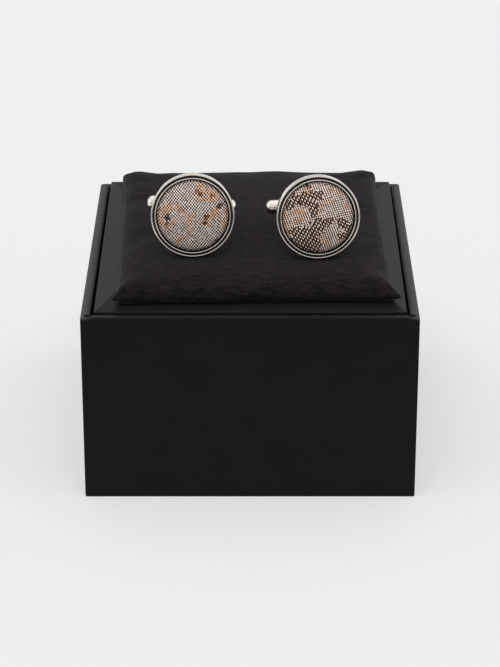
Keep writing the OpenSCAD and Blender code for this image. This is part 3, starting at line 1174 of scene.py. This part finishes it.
    def post(self) -> Workpiece:
        """Shapes the fork: a foot and a root behind the bezel, and two tines with round ends.

        Returns:
            The post, off the bench.
        """
        half_gap = self.tine_gap / 2
        half_h = half_gap + self.tine_t
        half_w = self.post_w / 2
        end = self.reach + half_w
        work = Workpiece.block(f"{self.side}_post", (-half_w, -half_h, -self.slot_root),
                               (half_w, half_h, self.solder - self.bezel_t))
        for cut in (-half_gap, half_gap):
            bpy.ops.mesh.select_all(action="SELECT")
            bpy.ops.mesh.bisect(plane_co=(0, cut, 0), plane_no=(0, 1, 0))
        work.faces(lambda mid, normal: normal.z < -FACING and abs(mid.y) > half_gap)
        work.extrude((0, 0, self.slot_root - end))
        work.edges(lambda a, b: max(a.z, b.z) < NEAR - end and abs(a.x - b.x) < NEAR)
        work.bevel(half_w - NEAR, 12)
        work.edges(lambda a, b: abs(a.y - b.y) < NEAR and abs(abs(a.y) - half_gap) < NEAR
                   and all(abs(p.z + self.slot_root) < NEAR for p in (a, b)))
        work.bevel(half_gap - 2 * NEAR, 10)
        work.modify("soft_edges", "BEVEL", width=self.soft_edge_r, segments=3,
                    angle_limit=math.radians(50))
        back = -self.bezel_t - self.foot_t
        foot = Workpiece.rod("foot", self.foot_r, back, self.solder - self.bezel_t, 96)
        foot.edges(lambda a, b: max(a.z, b.z) < back + NEAR).bevel(self.foot_edge_r, 5)
        return work.join(foot.off_bench())

    def pin(self) -> Workpiece:
        """Shapes the pivot pin with its two riveted heads.

        Returns:
            The pin, off the bench.
        """
        half = self.tine_gap / 2 + self.tine_t + self.pin_head
        work = Workpiece.rod(f"{self.side}_pin", self.pin_r, -half, half, 48, along_y=True)
        work.edges(lambda a, b: abs(a.y - b.y) < NEAR).bevel(self.pin_edge_r, 4).off_bench()
        work.thing.data.transform(Matrix.Translation((0, 0, -self.reach)))
        return work

    def toggle(self) -> Workpiece:
        """Turns the bar with its collars and bullet noses, and bores it for the pin.

        Returns:
            The toggle, off the bench.
        """
        half = self.toggle_len / 2
        shoulder = half - self.nose_len
        nose_r = self.toggle_r - self.neck
        centre = half - nose_r
        bead = self.collar_len / 2
        collar_steps, nose_steps = 8, 14
        right = [(0.0, self.toggle_r),
                 (shoulder - self.collar_len - self.collar_run, self.toggle_r)]
        for i in range(collar_steps + 1):
            turn = math.pi * (1 - i / collar_steps)
            right.append((shoulder - bead + bead * math.cos(turn),
                          self.toggle_r - self.collar_foot
                          + (self.collar_rise + self.collar_foot) * math.sin(turn)))
        right.append((shoulder + self.neck_run, nose_r))
        for i in range(1, nose_steps):
            turn = math.pi / 2 * (1 - i / nose_steps)
            right.append((centre + nose_r * math.cos(turn) ** self.blunt,
                          nose_r * math.sin(turn) ** self.blunt))
        right.append((half, 0.0))
        outline = [(-x, r) for x, r in reversed(right)] + right[1:]
        work = Workpiece.turned(f"{self.side}_toggle_bar_piece", outline, 72).off_bench()
        bore = Workpiece.rod("bore", self.pin_r + self.bore_gap, -self.bore_reach,
                             self.bore_reach, 48, along_y=True)
        work.cut([bore.off_bench()]).off_bench()
        work.thing.data.transform(Matrix.Translation((0, 0, -self.reach)))
        return work

    def weave(self, x: float, y: float) -> Point2:
        """Turns a place on the face into diamonds across and along the weave.

        Args:
            x: The place to the right, in millimetres.
            y: The place upwards, in millimetres.

        Returns:
            The place across and along the weave, which wobbles a little.
        """
        turn = math.radians(self.weave_turn)
        pace = self.wobble_pace
        wobble = noise.noise(Vector((x * pace, y * pace, self.weave_turn))) * self.wobble
        across = x * math.cos(turn) + y * math.sin(turn) + wobble
        along = y * math.cos(turn) - x * math.sin(turn) + wobble
        return across / self.lattice[0], along / self.lattice[1]

    def thread_at(self, across: float, along: float, x: float, y: float) -> dict[Thread, float]:
        """Finds which threads are up in the cell of the weave at a place.

        Args:
            across: The place across the weave, in diamonds.
            along: The place along the weave, in diamonds.
            x: The cell's place on the face.
            y: The cell's place on the face.

        Returns:
            The share of each thread.
        """
        ragged = sum(self.ragged * noise.noise(Vector((across * pace, along * pace, layer)))
                     for pace, layer in self.ragged_layers)
        shares = {thread: 0.0 for thread in Thread}
        shares[Thread.COPPER] = self.warmth
        for motif in self.figure:
            if motif.reach(x, y) < ragged:
                shares[motif.thread] = 1.0
        return shares

    def silk(self) -> None:
        """Makes the covered button: a low dome of woven silk, tucked in at its edge."""
        radius = (self.bezel_r - self.outer_bead_w - self.groove_w - self.inner_bead_w
                  - self.silk_gap)
        work = Workpiece.start(
            f"{self.side}_silk_button", bpy.ops.mesh.primitive_grid_add,
            x_subdivisions=self.silk_steps, y_subdivisions=self.silk_steps, size=2).off_bench()
        self.weave_dome(work.thing.data, radius)
        bpy.ops.object.mode_set(mode="EDIT")
        bpy.ops.mesh.select_mode(type="EDGE")
        bpy.ops.mesh.select_all(action="SELECT")
        bpy.ops.mesh.region_to_loop()
        work.extrude((0, 0, self.silk_edge_depth + self.tuck_depth + self.silk_back_gap
                      - self.recess_depth))
        bpy.ops.mesh.edge_face_add()
        work.tidy()
        thing = self.finish(work, [SILK], "box", f"{self.side}_silk_face", self.place,
                            crease=60.0)

    def weave_dome(self, mesh: bpy.types.Mesh, radius: float) -> None:
        """Rounds a square grid into the dome and weaves it, point by point.

        Args:
            mesh: The grid, from -1 to 1 both ways.
            radius: The dome's radius.
        """
        sphere = (radius ** 2 + self.dome_h ** 2) / (2 * self.dome_h)
        names = ("across", "along", "slant", *(thread.value for thread in Thread))
        values: dict[str, list[float]] = {name: [] for name in names}
        cells: dict[tuple[int, int], dict[Thread, float]] = {}
        upright = Matrix.Rotation(math.radians(self.roll), 2)
        for point in mesh.vertices:
            u, v = point.co.x, point.co.y
            x = radius * u * math.sqrt(1 - v * v / 2)
            y = radius * v * math.sqrt(1 - u * u / 2)
            flat = upright @ Vector((x, y))
            across, along = self.weave(flat.x, flat.y)
            cell = (round(across * 2), round(along * 2))
            if cell not in cells:
                cells[cell] = self.thread_at(across, along, flat.x, flat.y)
            shares = cells[cell]
            out = math.hypot(x, y)
            dome = (self.dome_h - self.silk_edge_depth - sphere
                    + math.sqrt(max(sphere ** 2 - out ** 2, 0)))
            tuck = max(0.0, (out - radius + self.tuck_run) / self.tuck_run)
            drift = self.even_slant + self.drift * noise.noise(Vector(
                (x * self.drift_pace, y * self.drift_pace, self.drift_layer)))
            striped = max(shares[Thread.COPPER], shares[Thread.IVORY])
            slant = drift + (self.stripe_slant - drift) * striped
            lift = self.relief * SILK.lift(across, along, slant, shares[Thread.UMBER])
            point.co = (x, y, dome - self.tuck_depth * tuck ** 3 + lift * (1 - tuck))
            for name, number in zip(names, (across, along, slant, *shares.values())):
                values[name].append(number)
        for name, numbers in values.items():
            layer = mesh.attributes.new(name, "FLOAT", "POINT")
            layer.data.foreach_set("value", numbers)


@dataclass
class Cushion(Assembly):
    """A soft pad under suede cloth, swollen by a cloth simulation and pressed by the bezels."""

    guests: tuple[Cufflink, ...]
    tilt: float = 1.06
    yaw: float = 1.2
    voxel: float = 1.0
    sim_scale: float = 8.0
    pressure: float = 4.0
    spare_cloth: float = 0.02
    held_h: float = 0.6
    frames: int = 20
    swell_cap: float = 0.45
    side_fill: float = 1.0
    side_run: float = 6.0
    back_level: float = 0.26
    back_run: float = 6.0
    back_ear_w: float = 2.8
    hump_x: float = 24.0
    hump_w: float = 5.0
    ear_rise: float = 1.2
    edge_in: float = 1.0
    corner_lift: float = 0.5
    corner_w: float = 3.2
    relax_from: Point3 = (8.0, 18.0, 1.6)
    relax_run: Point3 = (6.0, 6.0, 1.0)
    relax_steps: int = 40
    ear_in: Point2 = (1.2, 1.0)
    ear_pull: Point2 = (1.1, 1.4)
    ear_run: float = 2.0
    ear_level: float = 1.5
    ear_thick: float = 1.0
    ear_forward: float = 0.5
    press_depth: float = 0.22
    press_run: float = 2.2
    press_half_w: float = 1.5
    press_area: Point3 = (8.0, -9.0, 6.0)
    clearance: float = 0.03
    low: Vector = field(init=False)
    middle: Vector = field(init=False)
    half: Vector = field(init=False)
    square: Matrix = field(init=False)

    def __post_init__(self) -> None:
        """Measures the pad's solid, and works out the turn that squares it with the axes."""
        self.low, high = corners("cushion")
        self.middle = (self.low + high) / 2
        self.half = (high - self.low) / 2
        self.square = Matrix.Rotation(math.radians(-self.yaw), 3, "Z")

    def build(self) -> None:
        """Swells the pad, lets its front corners stand out and presses the bezels into it."""
        source = frame["nodes"]["cushion"]
        bpy.ops.object.select_all(action="DESELECT")
        thing = source.copy()
        thing.data = source.data.copy()
        thing.parent = None
        thing.hide_render = False
        bpy.context.collection.objects.link(thing)
        thing.matrix_world = Matrix.Identity(4)
        thing.data.transform(Matrix.Scale(1 / MM, 4))
        bpy.context.view_layer.objects.active = thing
        thing.select_set(True)
        work = Workpiece(thing, "suede_cushion").tidy()
        self.even_out(work, source)
        self.swell(work)
        work.modify("finer", "SUBSURF", levels=1, render_levels=1)
        self.straighten(thing)
        self.relax(work)
        self.pull_ears(thing)
        self.press(thing)
        piece = self.finish(work, [CUSHION_CLOTH], "box", "cushion", crease=180.0)

    def even_out(self, work: Workpiece, source: bpy.types.Object) -> None:
        """Gives the pad an even skin of small faces, drawn tight to its solid again.

        Args:
            work: The pad.
            source: The frame's own solid.
        """
        work.modify("even", "REMESH", mode="VOXEL", voxel_size=self.voxel)
        form = bpy.data.objects.new("form", bpy.data.meshes.new_from_object(source))
        form.data.transform(Matrix.Scale(1 / MM, 4))
        bpy.context.collection.objects.link(form)
        work.modify("to_form", "SHRINKWRAP", target=form)
        bpy.data.objects.remove(form, do_unlink=True)

    def swell(self, work: Workpiece) -> None:
        """Swells the pad with air, its foot held down, and caps how far it may move.

        Args:
            work: The pad.
        """
        thing = work.thing
        unit = self.sim_scale * MM
        thing.data.transform(Matrix.Scale(unit, 4))
        start = [point.co.copy() for point in thing.data.vertices]
        low = min(point.z for point in start)
        front = min(point.y for point in start)
        held = thing.vertex_groups.new(name="held_foot")
        slope = math.tan(math.radians(self.tilt))
        held.add([i for i, point in enumerate(start)
                  if point.z - slope * (point.y - front) < low + self.held_h * unit],
                 1.0, "REPLACE")
        cloth = thing.modifiers.new("swell", "CLOTH")
        cloth.settings.use_pressure = True
        cloth.settings.uniform_pressure_force = self.pressure
        cloth.settings.effector_weights.gravity = 0
        cloth.settings.shrink_min = -self.spare_cloth
        cloth.settings.vertex_group_mass = held.name
        cloth.point_cache.frame_start = 1
        cloth.point_cache.frame_end = self.frames
        for step in range(1, self.frames + 1):
            bpy.context.scene.frame_set(step)
        bpy.ops.object.modifier_apply(modifier=cloth.name)
        bpy.context.scene.frame_set(1)
        cap = self.swell_cap * unit
        for point, was in zip(thing.data.vertices, start):
            move = point.co - was
            if move.length > cap:
                point.co = was + move * (cap / move.length)
        thing.data.transform(Matrix.Scale(1 / unit, 4))
        thing.vertex_groups.clear()

    def straighten(self, thing: bpy.types.Object) -> None:
        """Fills the two long sides out until they run straight, and levels the back edge.

        Args:
            thing: The pad.
        """
        half = self.half
        side, end = half.x - self.edge_in, half.y - self.edge_in
        flat_w = half.x - self.back_ear_w
        for point in thing.data.vertices:
            flat = self.square @ (point.co - self.middle)
            beside = fade(abs(flat.x), side - self.side_run, side)
            behind = fade(flat.y, end - self.back_run, end)
            bow = max(0.0, 1 - (flat.y / half.y) ** 2)
            flat.x += math.copysign(self.side_fill * bow * beside ** 2, flat.x)
            top = fade(flat.z, 0.0, half.z)
            spare = abs(flat.x) - flat_w
            wave = (math.cos(math.pi * min(1.0, 1 + spare / flat_w))
                    + self.ear_rise * max(0.0, spare))
            hump = math.exp(-((flat.x - self.hump_x) / self.hump_w) ** 2)
            flat.z += self.back_level * behind * top * (wave - hump)
            edge = math.exp(-((half.x - self.corner_w - abs(flat.x)) / self.corner_w) ** 2)
            flat.z += self.corner_lift * (1 - bow) * (1 - behind) * top * edge
            point.co = self.middle + self.square.inverted() @ flat

    def relax(self, work: Workpiece) -> None:
        """Lets the ridges that run in from the front corners sink back into the cloth.

        Args:
            work: The pad.
        """
        loose = work.thing.vertex_groups.new(name="front_corners")
        for point in work.thing.data.vertices:
            here = (abs(point.co.x), -point.co.y, point.co.z - self.low.z)
            share = math.prod(fade(at, start, start + run) for at, start, run
                              in zip(here, self.relax_from, self.relax_run))
            if share > 0:
                loose.add([point.index], share, "REPLACE")
        work.modify("relaxed", "SMOOTH", vertex_group=loose.name, factor=0.5,
                    iterations=self.relax_steps)
        work.thing.vertex_groups.clear()

    def pull_ears(self, thing: bpy.types.Object) -> None:
        """Pulls the two front corners out into points, where the cloth is folded over.

        Args:
            thing: The pad.
        """
        slope = math.tan(math.radians(self.tilt))
        for point in thing.data.vertices:
            flat = self.square @ (point.co - self.middle)
            if flat.y > 0:
                continue
            beside = self.half.xy - Vector(self.ear_in) - Vector((abs(flat.x), -flat.y))
            near = math.exp(-beside.length_squared / self.ear_run ** 2)
            height = point.co.z - self.low.z - slope * (point.co.y - self.low.y)
            level = math.exp(-((height - self.ear_level) / self.ear_thick) ** 2)
            pull = self.ear_pull[flat.x > 0] * near * level
            point.co.x += math.copysign(pull, flat.x)
            point.co.y -= self.ear_forward * pull

    def press(self, thing: bpy.types.Object) -> None:
        """Presses each bezel's rim into the pad and keeps the pad clear of it.

        Args:
            thing: The pad.
        """
        for guest in self.guests:
            back = guest.place.inverted()
            up = (back.to_3x3() @ Vector((0, 0, 1))).normalized()
            aside, behind, ahead = self.press_area
            for point in thing.data.vertices:
                here = back @ point.co
                if here.y > 0 or abs(here.x) > aside or not behind < here.z < ahead:
                    continue
                beside = max(0.0, abs(here.x) - self.press_half_w)
                along = max(0.0, -guest.bezel_t - here.z, here.z)
                dent = math.exp(-((beside ** 2 + along ** 2) / self.press_run ** 2))
                point.co.z -= self.press_depth * dent
                here = back @ point.co
                wanted = guest.bezel_r + self.clearance
                if -guest.bezel_t - 0.1 < here.z < 0.1 and here.xy.length < wanted:
                    point.co.z -= (wanted - here.xy.length) / abs(up.y)


@dataclass(frozen=True)
class Lamp:
    """One far, wide, soft light.

    It is turned from straight down by turn, in degrees, and looks spread degrees wide from the
    table. A polarising filter can keep it out of what polished metal mirrors.
    """

    name: str
    power: float
    turn: Point3
    spread: float
    mirrored: bool

    def hang(self) -> None:
        """Hangs the light."""
        light = bpy.data.lights.new(self.name, "SUN")
        light.energy = self.power
        light.angle = math.radians(self.spread)
        holder = bpy.data.objects.new(self.name, light)
        holder.rotation_euler = [math.radians(t) for t in self.turn]
        holder.visible_glossy = self.mirrored
        bpy.context.collection.objects.link(holder)


@dataclass
class Studio:
    """A pale sweep, a tent of soft light with a bright panel at each side, and two lights."""

    eye: Point3 = (0.0, -503.3, 248.6)
    pitch: float = 24.34
    lens: float = 130.6
    sweep_w: float = 6.0
    surround: str = "#f0f0f2"
    surround_power: float = 0.96
    surround_foot: float = 0.12
    surround_to: float = 0.5
    panel_power: float = 1.1
    panel_edge: Point2 = (0.72, 0.92)
    lamps: tuple[Lamp, ...] = (Lamp("key", 1.15, (26, -6, 0), 50, mirrored=False),
                               Lamp("top", 0.35, (-20, 10, 0), 80, mirrored=True))

    def build(self) -> None:
        """Sets up the floor, the surround, the lights and the camera."""
        self.floor()
        self.air()
        for lamp in self.lamps:
            lamp.hang()
        self.camera()

    def floor(self) -> None:
        """Lays the pale sweep."""
        bpy.ops.object.select_all(action="DESELECT")
        bpy.ops.mesh.primitive_plane_add(size=self.sweep_w)
        sweep = bpy.context.object
        sweep.name = "sweep"
        sweep.data.materials.append(SWEEP.material())

    def air(self) -> None:
        """Fills the surround with pale light, brightest overhead and dimmer near the table."""
        world = bpy.data.worlds.new("surround")
        world.use_nodes = True
        tree = world.node_tree
        steps = wire(tree, (
            ("way", "SeparateXYZ", "place.Generated"),
            ("rise", "MapRange SMOOTHSTEP", "way.Z", 0.0, self.surround_to,
             self.surround_power * self.surround_foot, self.surround_power),
            ("aside", "Math ABSOLUTE", "way.X"),
            ("panels", "MapRange SMOOTHSTEP", "aside", *self.panel_edge, 0.0, self.panel_power),
            ("light", "Math ADD", "rise", "panels")))
        back = tree.nodes["Background"]
        back.inputs["Color"].default_value = linear(self.surround)
        tree.links.new(steps["light"], back.inputs["Strength"])
        bpy.context.scene.world = world
        bpy.context.scene.view_settings.view_transform = "Standard"

    def camera(self) -> None:
        """Puts up the camera that the fitted view needs."""
        lens = bpy.data.cameras.new("camera")
        lens.lens = self.lens
        lens.clip_end = 10.0
        eye = bpy.data.objects.new("camera", lens)
        eye.location = Vector(self.eye) * MM
        eye.rotation_euler = (math.radians(90 - self.pitch), 0, 0)
        bpy.context.collection.objects.link(eye)
        bpy.context.scene.camera = eye


def main() -> None:
    """Builds the studio and the pieces in order."""
    logging.basicConfig(level=logging.INFO, format="%(name)s: %(message)s")
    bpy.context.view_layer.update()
    Studio().build()
    left = Cufflink("left", yaw=2.0, roll=-3.5, weave_turn=2.7, stripe_slant=0.56,
                    warmth=0.0, figure=LEFT_FIGURE)
    right = Cufflink("right", yaw=4.6, roll=0.0, weave_turn=60.0, stripe_slant=0.2,
                     warmth=0.3, figure=RIGHT_FIGURE)
    for part in (PresentationBox(), Liner(), Cushion((left, right)), left, right):
        part.build()


if __name__ == "__main__":
    main()
